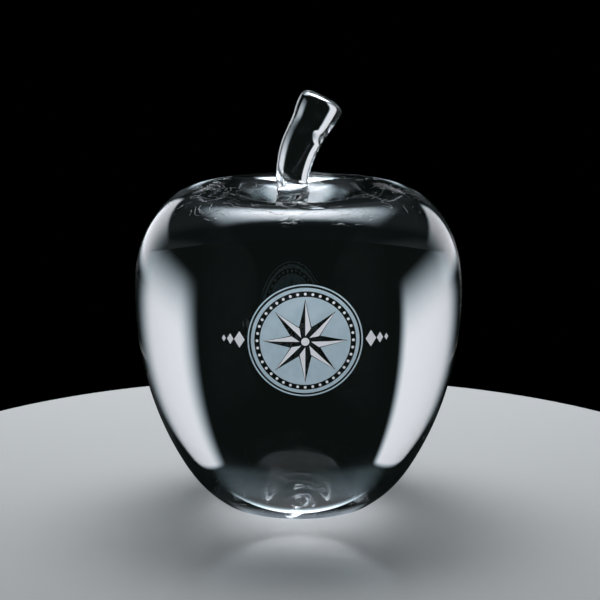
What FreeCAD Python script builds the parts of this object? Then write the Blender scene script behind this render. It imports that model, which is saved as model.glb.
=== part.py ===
# A solid glass apple ornament, free standing, in millimetres.
#
# The real one is two gathers of clear glass. The body is a solid lump turned to an apple's shape: a
# belly above its middle, a broad shoulder, a bowl-shaped dimple at the top and a ground flat below.
# The stem is a second, smaller gather. It is dropped hot into the dimple, where it spreads to a foot,
# and is then drawn up, bent over and sheared off, which leaves a flared, slanted, fire-polished end.
# The foot is fused to the dimple, so the two pieces meet face to face on the dimple's surface.
#
# The origin is at the centre of the ground flat. +Z is the body's axis, up. The stem leans to +X, and
# the front of the apple faces -Y.

import FreeCAD
import Part
import math
import os

# Body
body_diameter = 102.4  # across the belly
body_height = 100.0  # ground flat to the crest of the shoulder
belly_height = 65.0  # ground flat to the widest circle
base_diameter = 47.0  # ground and polished flat
base_rise = 34.0  # degrees, slope at which the flank leaves the flat
arris_width = 0.4  # polished bevel that breaks the edge of the flat
crest_diameter = 55.6  # circle where the shoulder turns over into the dimple
dimple_depth = 8.9  # crest to the middle of the dimple

# Points of the outline between two of the sizes above, as shares of the way out and of the way up.
flank_out_shares = (0.19, 0.53, 0.86)  # flat to belly
flank_up_shares = (0.06, 0.25, 0.59)
shoulder_out_shares = (0.84, 0.25)  # crest to belly, across
shoulder_up_shares = (0.63, 0.99)  # belly to crest, up
dimple_out_share = 0.45  # middle of the dimple to crest
dimple_up_share = 0.32

# Stem, with heights from the middle of the dimple
foot_width = 17.6  # where the gather has spread, before it is cut to the dimple
foot_depth = 16.8
foot_offset = -1.2  # body's axis to the middle of the foot and its flare
flare_width = 14.3  # part way up from the foot to the waist
flare_depth = 13.6
flare_rise = 4.4
waist_width = 9.2  # narrowest place, just over the foot
waist_depth = 9.0
waist_offset = -1.7  # body's axis to the middle of the waist
waist_rise = 7.8
neck_width = 10.1  # where the stem begins to bend
neck_depth = 9.7
neck_offset = -2.1  # body's axis to the middle of the neck
neck_rise = 10.4
end_width = 14.6  # flared end, at its widest
end_depth = 11.2
end_offset = 6.6  # body's axis to the middle of the end's widest ring
end_rise = 33.8
end_slant = 26.5  # degrees, how far the sheared end faces towards +X
end_dome = 4.0  # from the widest ring out to the middle of the fire-polished face
dome_fullness = 2.7  # 2 rounds the end off as half an ellipsoid, more makes it flatter with tighter edges
dome_rings = 6
dome_turn = 80.0  # degrees of the quarter turn that the rings take, before a small flat closes the end

# Rings of the stem from its neck, 0, to its end, 1, as shares of each size's change between the two.
bend_across_shares = (0.04, 0.13, 0.26, 0.47, 0.74)
bend_up_shares = (0.16, 0.32, 0.48, 0.64, 0.80)
bend_slant_shares = (0.25, 0.52, 0.80, 1.02, 1.12)
bend_width_shares = (0.10, 0.19, 0.31, 0.43, 0.70)
bend_depth_shares = (0.16, 0.34, 0.52, 0.72, 0.90)


def between(start, end, share):
    return start + share * (end - start)


def body_outline():
    """Radius and height of each point that the body's outline passes through, flat to dimple."""
    base_radius = base_diameter / 2
    belly_radius = body_diameter / 2
    crest_radius = crest_diameter / 2
    points = [(base_radius, 0)]
    for out, up in zip(flank_out_shares, flank_up_shares):
        points.append((between(base_radius, belly_radius, out), up * belly_height))
    points.append((belly_radius, belly_height))
    for out, up in zip(shoulder_out_shares, shoulder_up_shares):
        radius = between(crest_radius, belly_radius, out)
        points.append((radius, between(belly_height, body_height, up)))
    points.append((crest_radius, body_height))
    dimple_floor = body_height - dimple_depth
    points.append((dimple_out_share * crest_radius, dimple_floor + dimple_up_share * dimple_depth))
    points.append((0, dimple_floor))
    return points


def make_body():
    """The outline turned about the axis. A small bevel breaks the edge of the flat."""
    points = [FreeCAD.Vector(radius, 0, height) for radius, height in body_outline()]
    rise = math.radians(base_rise)
    outline = Part.BSplineCurve()
    outline.interpolate(
        Points=points,
        InitialTangent=FreeCAD.Vector(math.cos(rise), 0, math.sin(rise)),
        FinalTangent=FreeCAD.Vector(-1, 0, 0),
        Scale=False,
    )
    origin = FreeCAD.Vector(0, 0, 0)
    flat = Part.makeLine(origin, points[0])
    axis = Part.makeLine(points[-1], origin)
    half = Part.Face(Part.Wire([flat, outline.toShape(), axis]))
    body = half.revolve(origin, FreeCAD.Vector(0, 0, 1), 360)
    flat_edges = [edge for edge in body.Edges if edge.BoundBox.ZMax < arris_width and edge.Closed]
    return body.makeChamfer(arris_width, flat_edges)


def ring(offset, height, slant, width, depth):
    """An oval ring of the stem about (offset, 0, height), facing up and slant degrees towards +X."""
    place = FreeCAD.Matrix()
    place.scale(width / 2, depth / 2, 1)
    place.rotateY(math.radians(slant))
    place.move(offset, 0, height)
    return Part.Wire(Part.makeCircle(1).transformGeometry(place))


def make_stem(body):
    """A loft through oval rings, with its end rounded over and its foot cut to the dimple."""
    dimple_floor = body_height - dimple_depth
    rings = [
        ring(foot_offset, dimple_floor, 0, foot_width, foot_depth),
        ring(foot_offset, dimple_floor + flare_rise, 0, flare_width, flare_depth),
        ring(waist_offset, dimple_floor + waist_rise, 0, waist_width, waist_depth),
        ring(neck_offset, dimple_floor + neck_rise, 0, neck_width, neck_depth),
    ]
    bend = zip(
        bend_across_shares, bend_up_shares, bend_slant_shares, bend_width_shares, bend_depth_shares
    )
    for across, up, slant, width, depth in bend:
        rings.append(
            ring(
                between(neck_offset, end_offset, across),
                dimple_floor + between(neck_rise, end_rise, up),
                slant * end_slant,
                between(neck_width, end_width, width),
                between(neck_depth, end_depth, depth),
            )
        )
    for step in range(dome_rings):
        turn = math.radians(dome_turn * step / (dome_rings - 1))
        size = math.cos(turn) ** (2 / dome_fullness)
        out = end_dome * math.sin(turn) ** (2 / dome_fullness)
        across = end_offset + out * math.sin(math.radians(end_slant))
        up = dimple_floor + end_rise + out * math.cos(math.radians(end_slant))
        rings.append(ring(across, up, end_slant, size * end_width, size * end_depth))
    return Part.makeLoft(rings, True).cut(body)


def main():
    os.makedirs("parts", exist_ok=True)
    body = make_body()
    pieces = {"glass_body": body, "glass_stem": make_stem(body)}
    for name, piece in pieces.items():
        print(name, piece.isValid(), len(piece.Solids), round(piece.Volume), piece.BoundBox)
        piece.exportStep(f"parts/{name}.step")


main()
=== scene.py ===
import math

import bpy
import numpy as np
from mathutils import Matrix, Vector


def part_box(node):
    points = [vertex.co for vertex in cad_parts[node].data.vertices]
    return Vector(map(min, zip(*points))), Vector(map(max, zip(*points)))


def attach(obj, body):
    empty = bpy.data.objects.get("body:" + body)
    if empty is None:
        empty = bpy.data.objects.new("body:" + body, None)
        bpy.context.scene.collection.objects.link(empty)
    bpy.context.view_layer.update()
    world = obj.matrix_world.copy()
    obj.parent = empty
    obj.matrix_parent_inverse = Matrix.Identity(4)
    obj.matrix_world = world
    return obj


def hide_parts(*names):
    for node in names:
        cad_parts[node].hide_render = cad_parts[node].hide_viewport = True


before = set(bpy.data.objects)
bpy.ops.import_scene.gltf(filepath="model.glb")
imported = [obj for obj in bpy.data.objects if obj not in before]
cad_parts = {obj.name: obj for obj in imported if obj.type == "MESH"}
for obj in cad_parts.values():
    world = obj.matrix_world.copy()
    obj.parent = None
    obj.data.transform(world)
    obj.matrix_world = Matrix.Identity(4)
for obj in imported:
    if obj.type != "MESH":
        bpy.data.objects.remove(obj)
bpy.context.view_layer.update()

# A clear glass apple with a pulled stem and an etched star medallion. Lengths are written in
# millimetres and turned into metres by mm.
mm = 0.001
scene = bpy.context.scene


def between(start, end, share):
    # start plus a share of the way to end
    return start + share * (end - start)


def inMetres(lengths):
    # each length in millimetres times mm
    return [length * mm for length in lengths]


def smoothStep(low, high, value):
    # 0 below low, 1 above high, and 3t^2 - 2t^3 between them
    t = np.clip((value - low) / (high - low), 0, 1)
    return t * t * (3 - 2 * t)


def hump(value, middle, spread):
    # bell curve of height 1, spread wide to each side of the middle
    return np.exp(-((value - middle) / spread) ** 2)


def cubicThrough(points, startSlope, endSlope, count, lengthColumns=2):
    # Cubic pieces through the points, run by chord length t. The slopes m at the points are solved from
    # m[i-1]/h[i-1] + 2(1/h[i-1] + 1/h[i])m[i] + m[i+1]/h[i] = 3(d[i-1]/h[i-1] + d[i]/h[i]), which keeps
    # the curvature continuous, where h is a piece's length and d its rise over h.
    points = np.array(points, float)
    pieces = np.linalg.norm(np.diff(points[:, :lengthColumns], axis=0), axis=1)
    t = np.concatenate(([0], np.cumsum(pieces)))
    rise = np.diff(points, axis=0) / pieces[:, None]
    size = len(points)
    i = np.arange(1, size - 1)
    system = np.eye(size)
    system[i, i - 1] = 1 / pieces[i - 1]
    system[i, i] = 2 * (1 / pieces[i - 1] + 1 / pieces[i])
    system[i, i + 1] = 1 / pieces[i]
    known = np.zeros_like(points)
    known[0] = startSlope
    known[-1] = endSlope
    known[i] = 3 * (rise[i - 1] / pieces[i - 1, None] + rise[i] / pieces[i, None])
    slopes = np.linalg.solve(system, known)
    at = np.linspace(0, t[-1], count)
    k = np.clip(np.searchsorted(t, at, side="right") - 1, 0, size - 2)
    h = pieces[k, None]
    u = (at[:, None] - t[k, None]) / h
    return (points[k] * (1 + 2 * u) * (1 - u) ** 2 + slopes[k] * h * u * (1 - u) ** 2
            + points[k + 1] * u * u * (3 - 2 * u) + slopes[k + 1] * h * u * u * (u - 1))


def ringMesh(name, rings, firstPole=None, lastPole=None):
    # A closed skin over rings of points, shaped (rings, points round, 3), with a fan to a pole at each
    # end. Neighbours make quads; point numbers come from whole index grids.
    rows, around = rings.shape[:2]
    number = np.arange(rows * around).reshape(rows, around)
    ahead = np.roll(number, -1, axis=1)
    quads = np.stack((number[:-1], ahead[:-1], ahead[1:], number[1:]), axis=-1).reshape(-1, 4)
    points = [rings.reshape(-1, 3)]
    faces = quads.tolist()
    for pole, row, turned in ((firstPole, 0, True), (lastPole, rows - 1, False)):
        if pole is None:
            continue
        tip = np.full(around, sum(len(p) for p in points))
        fan = np.stack((number[row], ahead[row], tip), axis=-1)
        faces += (fan[:, ::-1] if turned else fan).tolist()
        points.append(np.array([pole], float))
    mesh = bpy.data.meshes.new(name)
    mesh.from_pydata((np.vstack(points) * mm).tolist(), [], faces)
    mesh.shade_smooth()
    piece = bpy.data.objects.new(name, mesh)
    scene.collection.objects.link(piece)
    return piece


# Glass body: one outline turned round the axis, a little out of round as hand work is.
bodyLow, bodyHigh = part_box("glass_body")
bodyShape = {
    "bellyRadius": (bodyHigh.x - bodyLow.x) / 2 / mm,
    "crestHeight": bodyHigh.z / mm,
    "flatRadius": 23.5,
    "flankSlope": 34.0,  # degrees, where the flank leaves the flat
    "arris": 1.6,
    "arrisRows": 2,  # rows of the outline that the arris takes
    "arrisPoints": 6,
    "flatRings": (0.25, 0.5, 0.75, 0.93, 0.99),  # shares of the flat's radius inside the arris
    "bellyHeight": 65.0,
    "crestRadius": 27.8,
    "dimpleDepth": 8.9,
    "flankOut": (0.19, 0.53, 0.86),  # shares of the way from the flat to the belly
    "flankUp": (0.06, 0.25, 0.59),
    "shoulderOut": (0.84, 0.25),  # shares of the way from the crest to the belly, and up
    "shoulderUp": (0.63, 0.99),
    "dimpleOut": (0.56, 0.31),  # shares of the crest's radius, and of the dimple's depth
    "dimpleUp": (0.70, 0.20),
    # number of lobes round the body, their share of the radius, phase, and twist up to the belly
    "lobes": ((2, 0.0016, 0.7, 0.9), (3, 0.0011, 2.3, -1.4), (5, 0.0005, 1.1, 2.2)),
    "lobesFrom": (16.0, 34.0),  # radii between which the lobes come in, so that the dimple stays round
    "rows": 240,
    "round": 320,
}
dimpleFloor = bodyShape["crestHeight"] - bodyShape["dimpleDepth"]


def bodyOutline(s):
    # the flat's edge, flank, belly, shoulder, crest and dimple, as one cubic through a few points
    points = [(s["flatRadius"], 0)]
    for out, up in zip(s["flankOut"], s["flankUp"]):
        points.append((between(s["flatRadius"], s["bellyRadius"], out), up * s["bellyHeight"]))
    points.append((s["bellyRadius"], s["bellyHeight"]))
    for out, up in zip(s["shoulderOut"], s["shoulderUp"]):
        points.append((between(s["crestRadius"], s["bellyRadius"], out),
                       between(s["bellyHeight"], s["crestHeight"], up)))
    points.append((s["crestRadius"], s["crestHeight"]))
    for out, up in zip(s["dimpleOut"], s["dimpleUp"]):
        points.append((out * s["crestRadius"], dimpleFloor + up * s["dimpleDepth"]))
    points.append((0, dimpleFloor))
    slope = math.radians(s["flankSlope"])
    return cubicThrough(points, (math.cos(slope), math.sin(slope)), (-1, 0), s["rows"])


outline = bodyOutline(bodyShape)
crestRow = int(outline[:, 1].argmax())


def flankRadius(height):
    # outside radius at a height, read off the outline from the flat up to the crest
    return np.interp(height, outline[:crestRow, 1], outline[:crestRow, 0])


def dimpleHeight(radius):
    # height of the dimple at a radius, read off the outline from the crest in to the middle
    return np.interp(radius, outline[crestRow:, 0][::-1], outline[crestRow:, 1][::-1])


def outOfRound(radius, height, angle, s=bodyShape):
    # radius times 1 + sum of share * cos(lobes * angle + phase + twist * height / belly height) - 1 at
    # the widest place, so that no lobe stands out of the round body's box
    wave = sum(share * (np.cos(lobes * angle + phase + twist * height / s["bellyHeight"]) - 1)
               for lobes, share, phase, twist in s["lobes"])
    return radius * (1 + wave * smoothStep(*s["lobesFrom"], radius))


def frontSkin(x, z, rounds=3):
    # The body's front point at x and z: y = -sqrt(r^2 - x^2), where r follows the lobes at that angle.
    # The lobes are low, so a few rounds find it.
    radius = flankRadius(z)
    y = -np.sqrt(radius ** 2 - x ** 2)
    for _ in range(rounds):
        r = outOfRound(radius, z, np.arctan2(y, x))
        y = -np.sqrt(r ** 2 - x ** 2)
    return y


def makeBody(s):
    # The flat's rows, a rounded arris (a quadratic from the flat to the flank) and the outline, each
    # row turned once round the axis.
    skipped = s["arrisRows"]
    start = np.array((s["flatRadius"] - s["arris"], 0))
    corner = np.array((s["flatRadius"], 0))
    u = np.linspace(0, 1, s["arrisPoints"])[:, None]
    arris = (1 - u) ** 2 * start + 2 * u * (1 - u) * corner + u * u * outline[skipped]
    flat = np.array([(share * start[0], 0) for share in s["flatRings"]])
    profile = np.vstack((flat, arris, outline[skipped + 1:-1]))
    angle = np.linspace(0, 2 * math.pi, s["round"], endpoint=False)
    height = np.repeat(profile[:, 1:], s["round"], axis=1)
    radius = outOfRound(profile[:, :1], height, angle)
    rings = np.stack((radius * np.cos(angle), radius * np.sin(angle), height), axis=-1)
    return ringMesh("glassBody", rings, (0, 0, 0), (0, 0, outline[-1, 1]))


body = makeBody(bodyShape)
print("body made,", len(body.data.polygons), "faces")

# Glass stem: drawn out of a gather that is wrapped into the dimple and sheared off at the top.
stemShape = {
    # rise over the dimple's middle, offset from the axis, slant in degrees, width and depth of each
    # ring, from the foot to the widest ring of the sheared end
    "rings": (
        (1.7, -0.6, 0.0, 16.6, 16.0),
        (4.4, -0.6, 0.0, 13.8, 13.2),
        (7.0, -1.4, 0.0, 10.4, 10.0),
        (10.4, -2.0, 1.5, 9.9, 9.5),
        (14.1, -1.75, 6.6, 10.3, 9.8),
        (17.9, -0.97, 13.8, 10.95, 10.2),
        (21.6, 0.16, 21.2, 11.5, 10.5),
        (25.4, 1.99, 27.0, 12.0, 10.8),
        (29.1, 4.18, 28.6, 13.1, 11.0),
        (33.8, 6.6, 26.5, 14.6, 11.2),
    ),
    # how rise, offset, slant, width and depth change per mm along the stem where it leaves the dimple
    "footSlope": (1, 0, 0, -1.0, -1.0),
    "underRings": (0.3, 0.55, 0.8),  # shares of the foot's size, for the rings of its underside
    "dome": 4.0,
    "domeFullness": 3.6,  # power of the superellipse
    "domeRows": 34,
    "footDip": 0.03,  # how far the foot's underside lies inside the body, so that no air film shows
    # rise on the axis, tilt per mm of x, spread and depth of the furrows (under 0) and ridges (over 0)
    # that the wrapped gather leaves
    "wraps": ((4.4, 0.2, 0.8, 0.3), (5.9, 0.24, 0.6, -0.4), (7.5, 0.24, 0.8, 0.2)),
    # rise, angle round the stem in degrees, spread in mm and depth of the jacks' dents
    "dents": ((28.6, -10.0, 1.4, -0.28), (31.4, 12.0, 1.2, 0.14)),
    "dentAspect": 1.3,  # spread round the stem over the spread along it
    # offset and rise of a point on each flat that the shears left, the slant that it faces, its turn to
    # the front and the rises between which it comes in
    "flats": ((8.4, 37.05, 28.5, 0.0, (0, 1)), (12.85, 33.6, 60.0, 0.0, (0, 1)),
              (13.25, 31.6, 112.0, 0.0, (0, 1)), (8.75, 28.0, 122.0, 42.0, (25.0, 28.5))),
    "rows": 220,
    "round": 160,
}


def makeStem(s):
    # Elliptic rings along the stem's bend: half the width * cos(angle) lies across the slant, and half
    # the depth * sin(angle) to the back. The wraps and dents swell or pinch them.
    table = np.array(s["rings"])
    slant = math.radians(table[-1, 2])
    endSlope = (math.cos(slant), math.sin(slant), 0, 0, 0)
    rise, offset, lean, width, depth = cubicThrough(table, s["footSlope"], endSlope, s["rows"]).T
    # the dome goes on from the widest ring as a quarter of a superellipse
    turn = np.linspace(0, math.pi / 2, s["domeRows"] + 1)[1:-1]
    out = s["dome"] * np.sin(turn) ** (2 / s["domeFullness"])
    size = np.cos(turn) ** (2 / s["domeFullness"])
    rise = np.concatenate((rise, rise[-1] + out * math.cos(slant)))
    offset = np.concatenate((offset, offset[-1] + out * math.sin(slant)))
    lean = np.radians(np.concatenate((lean, np.full(len(turn), table[-1, 2]))))
    width = np.concatenate((width, size * table[-1, 3]))
    depth = np.concatenate((depth, size * table[-1, 4]))
    angle = np.linspace(0, 2 * math.pi, s["round"], endpoint=False)
    swell = np.zeros((len(rise), s["round"]))
    for middle, tilt, spread, height in s["wraps"]:
        x = offset[:, None] + width[:, None] / 2 * np.cos(angle)
        swell += height * hump(rise[:, None], middle + tilt * x, spread)
    for middle, side, spread, height in s["dents"]:
        turned = (np.degrees(angle) - side + 180) % 360 - 180
        across = np.radians(turned) * width[:, None] / 2
        aside = spread * s["dentAspect"]
        swell += height * hump(rise[:, None], middle, spread) * hump(across, 0, aside)
    across = (width[:, None] / 2 + swell) * np.cos(angle)
    x = offset[:, None] + across * np.cos(lean)[:, None]
    y = (depth[:, None] / 2 + swell) * np.sin(angle)
    z = dimpleFloor + rise[:, None] - across * np.sin(lean)[:, None]
    # a flat moves every point that stands past its plane back onto it
    for pointX, pointRise, facing, turned, reach in s["flats"]:
        normal = Vector((math.sin(math.radians(facing)), 0, math.cos(math.radians(facing))))
        normal = (normal - Vector((0, math.tan(math.radians(turned)), 0))).normalized()
        up = z - dimpleFloor - pointRise
        past = np.maximum((x - pointX) * normal.x + y * normal.y + up * normal.z, 0)
        past *= smoothStep(*reach, rise)[:, None]
        x = x - past * normal.x
        y = y - past * normal.y
        z = z - past * normal.z
    # the lowest rings follow the bowl of the dimple
    hang = 1 - smoothStep(table[0, 0], table[1, 0], rise)[:, None]
    seat = dimpleHeight(np.hypot(x, y)) - s["footDip"]
    z += hang * (seat[:1] - z[:1])
    # the underside lies on the dimple, drawn in to the foot's middle
    share = np.array(s["underRings"])[:, None]
    underX = table[0, 1] + share * (x[:1] - table[0, 1])
    underY = share * y[:1]
    underZ = dimpleHeight(np.hypot(underX, underY)) - s["footDip"]
    under = np.stack((underX, underY, underZ), axis=-1)
    rings = np.concatenate((under, np.stack((x, y, z), axis=-1)))
    firstPole = (table[0, 1], 0, dimpleHeight(abs(table[0, 1])) - s["footDip"])
    lastPole = (x[-1].mean(), 0, z[-1].mean())
    return ringMesh("glassStem", rings, firstPole, lastPole)


stem = makeStem(stemShape)
print("stem made,", len(stem.data.polygons), "faces")

# Etched medallion: an eight-point star in a frosted field, inside a beaded double ring, with three
# lozenges on each side. Places are x and z from its middle, on the body's front.
medallionShape = {
    "middle": (2.0, 63.5),
    "rings": ((16.9, 16.5), (15.9, 14.9)),  # outer and inner radius of each
    "beads": 40,
    "beadRing": 14.1,
    "beadRadius": 0.42,
    "field": 13.3,
    "starTips": 8,
    "starTip": 12.1,
    "starWaist": 4.3,
    "starGap": 0.5,
    "hub": 1.2,
    # middle, half width and half height of the lozenges on one side
    "lozenges": ((19.3, 1.55, 2.5), (22.0, 0.95, 1.6), (23.9, 0.6, 1.0)),
    "lift": 0.03,  # how far before the body's front the sheets lie
    "thickness": 0.06,
    "segments": 192,
    # rows of points or cells across each kind of patch
    "ringRows": 3,
    "fieldRows": 10,
    "beadCells": 4,
    "hubCells": 6,
    "tipRows": 8,
    "lozengeRows": 5,
}


def quadPatch(corners, rows, columns):
    # bilinear surface between four corners, which are given in order round the patch
    a, b, c, d = (np.array(corner, float) for corner in corners)
    u = np.linspace(0, 1, columns)[None, :, None]
    v = np.linspace(0, 1, rows)[:, None, None]
    return (1 - v) * ((1 - u) * a + u * b) + v * ((1 - u) * d + u * c)


def discPatch(middle, radius, cells):
    # the square grid u, v pressed into a disc: u * sqrt(1 - v^2 / 2) and v * sqrt(1 - u^2 / 2)
    u, v = np.meshgrid(np.linspace(-1, 1, cells + 1), np.linspace(-1, 1, cells + 1))
    flat = np.stack((u * np.sqrt(1 - v * v / 2), v * np.sqrt(1 - u * u / 2)), axis=-1)
    return np.array(middle) + radius * flat


def ringPatch(outer, inner, rows, segments):
    # radius * sin(angle) and radius * cos(angle), from the top round and closed, with rows that step
    # from the outer radius to the inner one; either may have its own value at each angle
    angle = np.linspace(0, 2 * math.pi, segments + 1)
    share = np.linspace(0, 1, rows)[:, None]
    radius = between(outer, inner, share) * np.ones(segments + 1)
    return np.stack((radius * np.sin(angle), radius * np.cos(angle)), axis=-1)


def starRadius(s, angle):
    # distance to the star's edge: a straight line in polar form from a tip to the waist beside it,
    # tip * waist * sin(a) / (waist * sin(a - t) + tip * sin(t)), where a is half a point's angle
    half = math.pi / s["starTips"]
    t = np.abs((angle + half) % (2 * half) - half)
    return (s["starTip"] * s["starWaist"] * math.sin(half)
            / (s["starWaist"] * np.sin(half - t) + s["starTip"] * np.sin(t)))


def turnedPoint(radius, angle):
    # the place at a radius, turned clockwise from the top
    return (radius * math.sin(angle), radius * math.cos(angle))


def etchedSheet(name, patches, s):
    # Each patch is laid on the body's front, its faces turned to point away from it, and the skins
    # get their thickness outwards. Points that no face uses, where a ring closes, are left out.
    points = []
    faces = []
    count = 0
    for patch in patches:
        rows, columns = patch.shape[:2]
        x = s["middle"][0] + patch[..., 0]
        z = s["middle"][1] + patch[..., 1]
        skin = np.stack((x, frontSkin(x, z) - s["lift"], z), axis=-1)
        number = count + np.arange(rows * columns).reshape(rows, columns)
        if np.allclose(patch[:, 0], patch[:, -1]):
            number[:, -1] = number[:, 0]  # a closed ring shares its first column
        quads = np.stack((number[:-1, :-1], number[:-1, 1:], number[1:, 1:], number[1:, :-1]), axis=-1)
        along = skin[0, 1] - skin[0, 0]
        inwards = skin[1, 0] - skin[0, 0]
        if np.cross(along, inwards)[1] > 0:
            quads = quads[..., ::-1]
        points.append(skin.reshape(-1, 3))
        faces.append(quads.reshape(-1, 4))
        count += rows * columns
    used, corners = np.unique(np.vstack(faces), return_inverse=True)
    mesh = bpy.data.meshes.new(name)
    mesh.from_pydata((np.vstack(points)[used] * mm).tolist(), [], corners.reshape(-1, 4).tolist())
    sheet = bpy.data.objects.new(name, mesh)
    scene.collection.objects.link(sheet)
    wall = sheet.modifiers.new("thickness", "SOLIDIFY")
    wall.thickness = s["thickness"] * mm
    wall.offset = 1
    return sheet


def makeMedallion(s):
    # The field is two rings and a third whose inner edge stands off the star. The white sheet is the
    # beads, the hub, half of each of the star's points and the lozenges.
    half = math.pi / s["starTips"]
    segments = s["segments"]
    angles = np.linspace(0, 2 * math.pi, segments + 1)
    field = [ringPatch(outer, inner, s["ringRows"], segments) for outer, inner in s["rings"]]
    starEdge = starRadius(s, angles) + s["starGap"]
    field.append(ringPatch(s["field"], starEdge, s["fieldRows"], segments))
    white = []
    for k in range(s["beads"]):
        bead = turnedPoint(s["beadRing"], 2 * math.pi * k / s["beads"])
        white.append(discPatch(bead, s["beadRadius"], s["beadCells"]))
    white.append(discPatch((0, 0), s["hub"], s["hubCells"]))
    for k in range(s["starTips"]):
        # the half of each point that lies clockwise of its middle line, from the hub out
        turn = 2 * half * k
        tip = turnedPoint(s["starTip"], turn)
        root = turnedPoint(s["hub"] + s["starGap"], turn)
        waist = turnedPoint(s["starWaist"], turn + half)
        middle = turnedPoint((s["hub"] + s["starTip"]) / 2, turn)
        white.append(quadPatch((root, waist, tip, middle), s["tipRows"], s["tipRows"]))
    for side in (-1, 1):
        for place, width, height in s["lozenges"]:
            at = side * place
            corners = ((at - width, 0), (at, height), (at + width, 0), (at, -height))
            white.append(quadPatch(corners, s["lozengeRows"], s["lozengeRows"]))
    return etchedSheet("etchedField", field, s), etchedSheet("etchedStar", white, s)


etchedField, etchedStar = makeMedallion(medallionShape)
print("medallion made")


class Wire:
    # One socket of a node tree. Sums of wires and numbers add Math nodes, and node() adds any other,
    # from its type, its settings and the values or wires of its sockets.
    def __init__(self, tree, socket=None):
        self.tree = tree
        self.socket = socket

    def node(self, kind, settings, values, output=0):
        made = self.tree.nodes.new(kind)
        for name, value in settings.items():
            setattr(made, name, value)
        self.feed(made, values)
        return Wire(self.tree, made.outputs[output])

    def feed(self, made, values):
        for name, value in values.items():
            if isinstance(value, Wire):
                self.tree.links.new(value.socket, made.inputs[name])
            else:
                made.inputs[name].default_value = value

    def maths(self, operation, *terms):
        return self.node("ShaderNodeMath", {"operation": operation}, dict(enumerate((self,) + terms)))

    def __add__(self, other):
        return self.maths("ADD", other)

    __radd__ = __add__

    def __sub__(self, other):
        return self.maths("SUBTRACT", other)

    def __rsub__(self, other):
        return self * -1 + other

    def __mul__(self, other):
        return self.maths("MULTIPLY", other)

    __rmul__ = __mul__

    def __truediv__(self, other):
        return self.maths("DIVIDE", other)

    def __pow__(self, other):
        return self.maths("POWER", other)

    def size(self):
        return self.maths("ABSOLUTE")

    def step(self, low, high, start=0.0, end=1.0):
        # start below low, end above high, smooth between them
        return self.node("ShaderNodeMapRange", {"interpolation_type": "SMOOTHSTEP"},
                         {"Value": self, "From Min": low, "From Max": high,
                          "To Min": start, "To Max": end})

    def bell(self, middle, spread):
        # e to the power of minus the square of the distance from the middle, in spreads
        away = (self - middle) / spread
        return (away * away * -1).maths("EXPONENT")

    def noise(self, vector, scale, detail):
        return self.node("ShaderNodeTexNoise", {}, {"Vector": vector, "Scale": scale, "Detail": detail})

    def bump(self, height):
        # the normal over a height in metres
        return self.node("ShaderNodeBump", {}, {"Strength": 1.0, "Distance": 1.0, "Height": height})

    def vector(self, x, y, z):
        return self.node("ShaderNodeCombineXYZ", {}, {"X": x, "Y": y, "Z": z})

    def parts(self):
        made = self.tree.nodes.new("ShaderNodeSeparateXYZ")
        self.tree.links.new(self.socket, made.inputs[0])
        return tuple(Wire(self.tree, output) for output in made.outputs)

    def blend(self, share, first, second):
        # a Mix node's colours go in at sockets 6 and 7 and come out at 2
        return self.node("ShaderNodeMix", {"data_type": "RGBA"},
                         {"Factor": share, 6: first, 7: second}, 2)


def newMaterial(name, constants):
    # a Principled shader with constants on its sockets, and wires for its tree and object place
    material = bpy.data.materials.new(name)
    material.use_nodes = True
    shader = material.node_tree.nodes["Principled BSDF"]
    wire = Wire(material.node_tree)
    wire.feed(shader, constants)
    place = wire.node("ShaderNodeTexCoord", {}, {}, "Object")
    return material, shader, wire, place


glassLook = {
    "tint": (0.985, 0.992, 0.997, 1),
    "ior": 1.55,
    "threadsFrom": (94.0, 97.5),  # heights between which the swirled threads come in
    "threadsInside": (13.0, 19.0),  # radii between which they start, outside the stem's foot
    # spacing, half width and height in mm, and wander in spacings, of the wide and the narrow threads
    "threads": ((4.6, 0.22, 0.050, 4.8), (2.1, 0.14, 0.025, 7.6)),
    "threadHaze": 0.5,  # roughness on a thread
    "wanderSize": (105.0, 2.4),  # noise scale per metre and detail
    "patchSize": ((60.0, 1), (95.0, 1)),  # noise scale and detail of the patches where each kind shows
    "patchFrom": (0.49, 0.62),
    "streakSize": (420, 2),  # noise scale and detail across the stem
    "streakStretch": 0.18,  # share of the height that this noise sees, which draws it out
    "streakHeight": 0.02,
}


def newGlass(name, s):
    # clear glass without its relief
    return newMaterial(name, {"Transmission Weight": 1, "Roughness": 0, "IOR": s["ior"],
                              "Base Color": s["tint"]})


def makeBodyGlass(s):
    # Threads left by the gathering swirl round the shoulders: a thread is where the radius, pushed in
    # and out by a noise, is half way between two spacings.
    material, shader, wire, place = newGlass("clearBodyGlass", s)
    x, y, z = place.parts()
    radius = (x * x + y * y) ** 0.5
    wander = wire.noise(place, *s["wanderSize"])
    reach = z.step(*inMetres(s["threadsFrom"])) * radius.step(*inMetres(s["threadsInside"]))
    relief = reach * 0
    haze = reach * 0
    for (spacing, half, height, sway), patchSize in zip(s["threads"], s["patchSize"]):
        across = (radius / (spacing * mm) + wander * sway).maths("FRACT")
        ridge = (across - 0.5).size().step(0, half / spacing, 1, 0)
        ridge = ridge * reach * wire.noise(place, *patchSize).step(*s["patchFrom"])
        relief = relief + ridge * (height * mm)
        haze = haze.maths("MAXIMUM", ridge)
    wire.feed(shader, {"Normal": wire.bump(relief), "Roughness": haze * s["threadHaze"]})
    return material


def makeStemGlass(s):
    # faint streaks drawn along the stem: a noise over x, y and a share of z
    material, shader, wire, place = newGlass("clearStemGlass", s)
    x, y, z = place.parts()
    streak = wire.noise(wire.vector(x, y, z * s["streakStretch"]), *s["streakSize"])
    wire.feed(shader, {"Normal": wire.bump(streak * (s["streakHeight"] * mm))})
    return material


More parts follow.
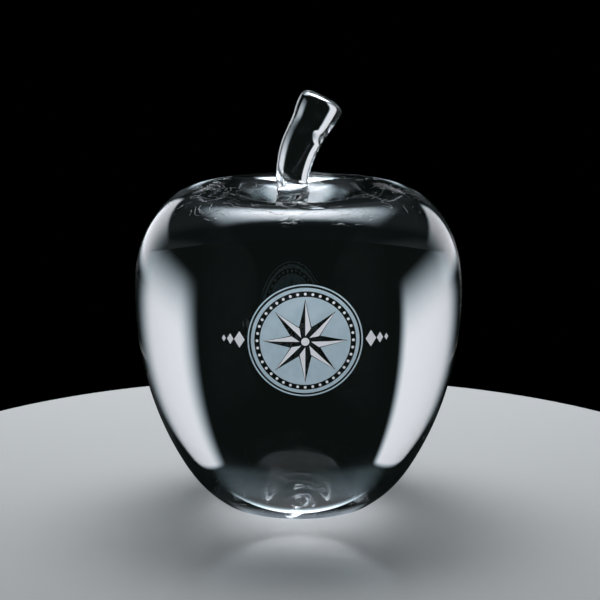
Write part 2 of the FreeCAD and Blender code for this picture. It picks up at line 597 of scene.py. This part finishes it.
frostLook = {
    "field": ((0.50, 0.62, 0.67, 1), (0.60, 0.71, 0.76, 1)),
    "star": ((0.92, 0.94, 0.95, 1), (0.98, 0.985, 0.99, 1)),
    "roughness": 0.75,
    "ior": 1.45,
    "through": (1.0, 0.35),  # shares of the light that pass through the field and the star
    "reach": 0.1,  # how far it spreads in the sheet
    "cloudSize": (260, 4),  # noise scale and detail
    "cloudShare": 0.6,  # in the colour; the grain has the rest
    "colourFrom": (0.35, 0.65),
    "grainSize": (5200, 2),
    "grainHeight": 0.012,
}


def makeFrost(name, colours, through, s):
    # Sandblasted glass: light from inside the body is spread as it passes the pits. They show as a
    # fine grain, and the colour has a slow cloudiness.
    material, shader, wire, place = newMaterial(name, {
        "Subsurface Weight": through, "Subsurface Scale": s["reach"] * mm, "Roughness": s["roughness"],
        "Subsurface Radius": (1, 1, 1), "IOR": s["ior"]})
    cloud = wire.noise(place, *s["cloudSize"])
    grain = wire.noise(place, *s["grainSize"])
    mottle = cloud * s["cloudShare"] + grain * (1 - s["cloudShare"])
    colour = wire.blend(mottle.step(*s["colourFrom"]), *colours)
    wire.feed(shader, {"Base Color": colour, "Normal": wire.bump(grain * (s["grainHeight"] * mm))})
    return material


bodyGlass = makeBodyGlass(glassLook)
stemGlass = makeStemGlass(glassLook)
fieldFrost = makeFrost("fieldFrost", frostLook["field"], frostLook["through"][0], frostLook)
starFrost = makeFrost("starFrost", frostLook["star"], frostLook["through"][1], frostLook)
for piece, material in ((body, bodyGlass), (stem, stemGlass), (etchedField, fieldFrost),
                        (etchedStar, starFrost)):
    piece.data.materials.append(material)
    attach(piece, "root")
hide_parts("glass_body")
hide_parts("glass_stem")
print("glass and frost given")

# Floor: a plain round board, light grey to the camera. The glass finds it dark, or it would fill the
# clear shoulders: for the glass it has a painted pool of light in an arc before the apple's foot,
# painted caustic light just before the foot's edge, and painted darkness, as dim as the backdrop,
# towards its rim.
floorLook = {
    "radius": 150.0,
    "segments": 128,
    "drop": 0.05,  # under the body's flat, so that the two faces don't flicker
    "plain": (0.47, 0.45, 0.43, 1),  # what the camera sees
    "dark": (0.0078, 0.0094, 0.0094, 1),
    # the painted pool of light is an arc that lies between two radii, in front of a line across, and is
    # fainter in its middle; each pair is where a fade starts and ends
    "paintedPool": (0.64, 0.84, 0.92, 1),
    "paintedPoolFrom": (31.0, 36.0),
    "paintedPoolTo": (45.0, 51.0),
    "paintedPoolFront": (-30.0, -17.0),
    "paintedPoolAside": (4.0, 24.0),
    "paintedPoolMiddle": 0.35,  # share of the painted light that is left straight before the foot
    # painted caustic: the light that the glass gathers on the floor before the edge of its foot
    "paintedCaustic": (0.62, 0.66, 0.70, 1),
    "paintedCausticFrom": (19.0, 21.0),
    "paintedCausticTo": (25.0, 28.0),
    "paintedCausticFront": (-19.0, -13.0),
    # painted darkness towards the rim, a falloff of light carried by the floor's colour
    "dim": (0.0026, 0.0036, 0.0034, 1),
    "dimFrom": (106.0, 128.0),
    "roughness": 0.05,
    "ior": 1.05,  # a faint reflection
}


def makeFloor(s):
    # One ring of points at the radius, closed by a fan to its middle. Its painted pool of light,
    # painted caustic light and painted darkness at the rim come in by masks of the radius, of y and of
    # the size of x.
    angle = np.linspace(0, 2 * math.pi, s["segments"], endpoint=False)
    edge = np.stack((np.cos(angle), np.sin(angle), 0 * angle), axis=-1)
    floor = ringMesh("floor", s["radius"] * edge[None], None, (0, 0, 0))
    floor.location.z = -s["drop"] * mm
    material, shader, wire, place = newMaterial("floorBoard", {"Roughness": s["roughness"],
                                                               "IOR": s["ior"]})
    x, y, z = place.parts()
    radius = (x * x + y * y) ** 0.5

    def arc(name):
        # 1 between the two radii and in front of the line, 0 elsewhere
        ring = radius.step(*inMetres(s[name + "From"])) * radius.step(*inMetres(s[name + "To"]), 1, 0)
        return ring * y.step(*inMetres(s[name + "Front"]), 1, 0)

    # painted pool of light in an arc before the foot, fainter in its middle
    lit = arc("paintedPool") * x.size().step(*inMetres(s["paintedPoolAside"]), s["paintedPoolMiddle"], 1)
    paint = wire.blend(lit, s["dark"], s["paintedPool"])
    # painted darkness towards the rim
    paint = wire.blend(radius.step(*inMetres(s["dimFrom"])), paint, s["dim"])
    # painted caustic light before the edge of the foot
    paint = wire.blend(arc("paintedCaustic"), paint, s["paintedCaustic"])
    seen = wire.node("ShaderNodeLightPath", {}, {}, "Is Camera Ray")
    wire.feed(shader, {"Base Color": wire.blend(seen, paint, s["plain"])})
    floor.data.materials.append(material)


makeFloor(floorLook)

# Softboxes: two walls beside the apple, a wide one overhead behind it, a dim glow far behind, two that
# give the shoulders their shine and a fill in front. Each has its middle, width and height in metres,
# the point it faces, its radiance and the shares of its half width and half height over which it fades,
# towards its left, right, lower and upper rim as the apple sees it. A spot is the place of its lamp
# behind the cloth, across and up, how far that spreads, all as shares of the width and height, and the
# light that is left away from it.
softboxes = {
    "wallLeft": {"middle": (-0.435, 0.53, 0.0775), "size": (0.76, 0.645), "facing": (0.0, 0.53, 0.0775),
                 "radiance": 0.88, "fade": (0.55, 0.35, 0.73, 0.12), "spot": None},
    "wallRight": {"middle": (0.42, 0.53, 0.0775), "size": (0.76, 0.645), "facing": (0.0, 0.53, 0.0775),
                  "radiance": 0.88, "fade": (0.7, 0.6, 0.73, 0.12), "spot": None},
    # faces a hair off straight down, so that its turn is defined
    "overhead": {"middle": (0, 0.37, 0.59), "size": (0.88, 0.74), "facing": (0, 0.3699, 0),
                 "radiance": 13.0, "fade": (0.3, 0.3, 0.7, 0.3), "spot": (0.52, 0.66, 0.32, 0.3, 0.0)},
    "backGlow": {"middle": (0, 1.2, 1.05), "size": (2.2, 1.5), "facing": (0, 0, 0.05),
                 "radiance": 0.12, "fade": (0.5, 0.5, 0.5, 0.5), "spot": (0.5, 0.5, 0.33, 0.33, 0.0)},
    "shineLeft": {"middle": (-0.468, 0.52, 0.16), "size": (0.64, 0.38), "facing": (0, 0, 0.16),
                  "radiance": 2.3, "fade": (1.2, 0.2, 0.45, 0.26), "spot": None},
    "shineRight": {"middle": (0.516, 0.473, 0.16), "size": (0.6, 0.38), "facing": (0, 0, 0.16),
                   "radiance": 2.1, "fade": (0.2, 1.15, 0.45, 0.26), "spot": None},
    "frontFill": {"middle": (0, -0.55, 0.36), "size": (0.5, 0.4), "facing": (0, 0, 0.06),
                  "radiance": 6.0, "fade": (0.3, 0.3, 0.3, 0.3), "spot": None},
}
frostOnly = ("frontFill",)  # lights the medallion alone, without a glare on the clear front
seenThrough = ("wallLeft", "wallRight")  # not in reflections
reflected = ("shineLeft", "shineRight")  # in reflections alone
boxColours = {"middle": (0.915, 0.94, 1.0, 1), "rim": (0.68, 0.86, 0.97, 1)}
frostPieces = bpy.data.collections.new("frostPieces")
for piece in (etchedField, etchedStar):
    frostPieces.objects.link(piece)


def aimAt(thing, point):
    # turns a lamp or camera where it stands, to face the point
    look = Vector(point) - thing.location
    thing.rotation_euler = look.to_track_quat("-Z", "Y").to_euler()


def makeSoftbox(name, s):
    # A rectangle of the given radiance gives out radiance times area times pi watts. It fades to each
    # rim as 3t^2 - 2t^3 and away from its spot as a bell curve, and turns bluer as it fades.
    light = bpy.data.lights.new(name, "AREA")
    light.shape = "RECTANGLE"
    light.size, light.size_y = s["size"]
    light.energy = s["radiance"] * s["size"][0] * s["size"][1] * math.pi
    light.use_nodes = True
    wire = Wire(light.node_tree)
    u, v, _ = wire.node("ShaderNodeNewGeometry", {}, {}, "Parametric").parts()
    left, right, low, high = (share / 2 for share in s["fade"])
    strength = u.step(0, right) * u.step(1 - left, 1, 1, 0) * v.step(0, low) * v.step(1 - high, 1, 1, 0)
    if s["spot"]:
        across, up, wide, tall, rest = s["spot"]
        strength = strength * (u.bell(across, wide) * v.bell(up, tall) * (1 - rest) + rest)
    colour = wire.blend(strength, boxColours["rim"], boxColours["middle"])
    wire.feed(light.node_tree.nodes["Emission"], {"Strength": strength, "Color": colour})
    lamp = bpy.data.objects.new(name, light)
    lamp.location = s["middle"]
    aimAt(lamp, s["facing"])
    lamp.visible_camera = False
    if name in seenThrough:
        lamp.visible_glossy = False
    if name in reflected:
        lamp.visible_diffuse = False
        lamp.visible_transmission = False
    if name in frostOnly:
        lamp.visible_glossy = False
        lamp.visible_transmission = False
        lamp.light_linking.receiver_collection = frostPieces
    scene.collection.objects.link(lamp)


for name, settings in softboxes.items():
    makeSoftbox(name, settings)

# the backdrop is black to the camera, and a trace of grey to the glass
backdrop = {"black": (0, 0, 0, 1), "dusk": (0.0034, 0.0048, 0.0044, 1)}
world = bpy.data.worlds.new("darkStudio")
world.use_nodes = True
wire = Wire(world.node_tree)
seen = wire.node("ShaderNodeLightPath", {}, {}, "Is Camera Ray")
wire.feed(world.node_tree.nodes["Background"],
          {"Color": wire.blend(seen, backdrop["dusk"], backdrop["black"])})
scene.world = world
print("floor and softboxes set")

cameraView = {
    "elevation": 13.77,  # degrees
    "distance": 705.6,
    "lens": 134.2,
    "sensor": 36.0,
    "stand": (0, 0, 50.0),  # the distance is measured from here
    "aim": (0.5, 0, 64.6),
}


def makeCamera(s):
    # stands at the distance along the view's elevation and looks at the aim
    data = bpy.data.cameras.new("photoCamera")
    data.lens = s["lens"]
    data.sensor_width = s["sensor"]
    camera = bpy.data.objects.new("photoCamera", data)
    raised = math.radians(s["elevation"])
    away = Vector((0, -math.cos(raised), math.sin(raised))) * s["distance"]
    camera.location = (Vector(s["stand"]) + away) * mm
    aimAt(camera, Vector(s["aim"]) * mm)
    scene.collection.objects.link(camera)
    scene.camera = camera


makeCamera(cameraView)
scene.view_settings.view_transform = "Standard"
lightBounces = {"max": 24, "transmission": 24, "glossy": 12}  # enough to cross the glass many times
for kind, count in lightBounces.items():
    setattr(scene.cycles, kind + "_bounces", count)
